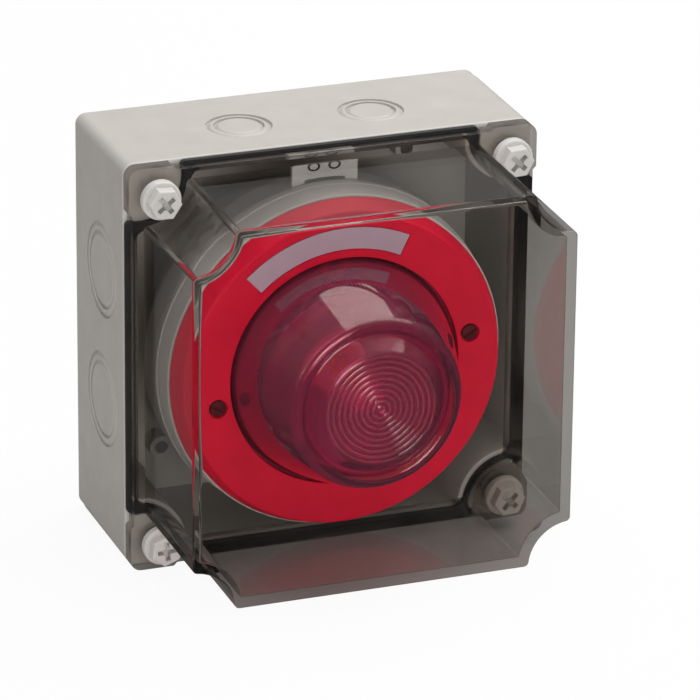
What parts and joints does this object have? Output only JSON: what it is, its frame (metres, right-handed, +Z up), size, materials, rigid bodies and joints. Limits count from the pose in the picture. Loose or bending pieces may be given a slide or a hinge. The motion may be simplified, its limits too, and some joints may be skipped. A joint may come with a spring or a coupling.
{
  "type": "enclosed warning beacon",
  "caption": "Wall-mounted weatherproof case with a deep, smoked, clear lid over a round red warning beacon that twists onto its base; a white card stands above it.",
  "frame": {"origin": "middle of the case's back face, on the wall", "axes": "+Z up, -Y out from the wall towards the viewer, +X to the viewer's right"},
  "size_m": [0.13, 0.099, 0.13],
  "materials": {
    "grey_plastic": "satin, light grey",
    "smoked_plastic": "clear, smoked, polished",
    "pale_plastic": "satin, pale grey",
    "seal_rubber": "matt, black",
    "beacon_grey": "satin, grey",
    "zinc_steel": "zinc plated",
    "terminal_plastic": "satin, off-white",
    "brass": "plain",
    "white_plastic": "satin, white",
    "red_plastic": "gloss, red",
    "band_film": "pale film, left bare",
    "dark_steel": "blackened",
    "red_lens": "clear, deep red, polished",
    "board_green": "solder mask",
    "black_plastic": "satin, black",
    "copper_winding": "enamelled copper wire",
    "aluminium": "plain",
    "board_white": "white solder mask",
    "chip_yellow": "phosphor layer",
    "mirror_film": "bright metallised"
  },
  "bodies": {
    "enclosure": {"base_box": "grey_plastic", "lid_gasket": "seal_rubber", "spacer_box": "beacon_grey", "spacer_screw_left": "zinc_steel", "spacer_screw_right": "zinc_steel", "mounting_base": "beacon_grey", "base_screw_left": "zinc_steel", "base_screw_right": "zinc_steel", "address_card": "white_plastic", "terminal_block_1": "terminal_plastic", "terminal_block_2": "terminal_plastic", "terminal_block_3": "terminal_plastic", "terminal_block_4": "terminal_plastic", "terminal_screw_1": "brass", "terminal_screw_2": "brass", "terminal_screw_3": "brass", "terminal_screw_4": "brass", "contact_spring_1": "brass", "contact_spring_2": "brass", "contact_spring_3": "brass", "contact_spring_4": "brass"},
    "lid": {"lid": "smoked_plastic", "screw_seal_tl": "seal_rubber", "screw_seal_tr": "seal_rubber", "screw_seal_bl": "seal_rubber", "screw_seal_br": "seal_rubber"},
    "lid_screw_tl": {"lid_screw_tl": "pale_plastic"},
    "lid_screw_tr": {"lid_screw_tr": "pale_plastic"},
    "lid_screw_bl": {"lid_screw_bl": "pale_plastic"},
    "lid_screw_br": {"lid_screw_br": "pale_plastic"},
    "head": {"head_housing": "beacon_grey", "front_flange": "red_plastic", "front_band": "band_film", "flange_screw_left": "dark_steel", "flange_screw_right": "dark_steel", "dome_lens": "red_lens", "lens_seal": "seal_rubber", "rear_cover": "beacon_grey", "driver_board": "board_green", "board_screw_left": "zinc_steel", "board_screw_right": "zinc_steel", "capacitor": "black_plastic", "inductor": "copper_winding", "controller": "black_plastic", "heat_sink": "aluminium", "lamp_board": "board_white", "lamp_emitter": "chip_yellow", "reflector_bowl": "mirror_film", "contact_blade_1": "brass", "contact_blade_2": "brass", "contact_blade_3": "brass", "contact_blade_4": "brass"}
  },
  "joints": [
    {"name": "lid_lift", "type": "slide", "parent": "enclosure", "child": "lid", "axis": [0, -1, 0], "range_m": [0, 0.05]},
    {"name": "head_twist", "type": "hinge", "parent": "enclosure", "child": "head", "pos_m": [0, -0.05, -0.0035], "axis": [0, -1, 0], "range_deg": [0, 15]},
    {"name": "lid_screw_turn_tl", "type": "hinge", "parent": "lid", "child": "lid_screw_tl", "pos_m": [-0.056, -0.054, 0.056], "axis": [0, -1, 0], "continuous": true},
    {"name": "lid_screw_turn_tr", "type": "hinge", "parent": "lid", "child": "lid_screw_tr", "pos_m": [0.056, -0.054, 0.056], "axis": [0, -1, 0], "continuous": true},
    {"name": "lid_screw_turn_bl", "type": "hinge", "parent": "lid", "child": "lid_screw_bl", "pos_m": [-0.056, -0.054, -0.056], "axis": [0, -1, 0], "continuous": true},
    {"name": "lid_screw_turn_br", "type": "hinge", "parent": "lid", "child": "lid_screw_br", "pos_m": [0.056, -0.054, -0.056], "axis": [0, -1, 0], "continuous": true}
  ]
}
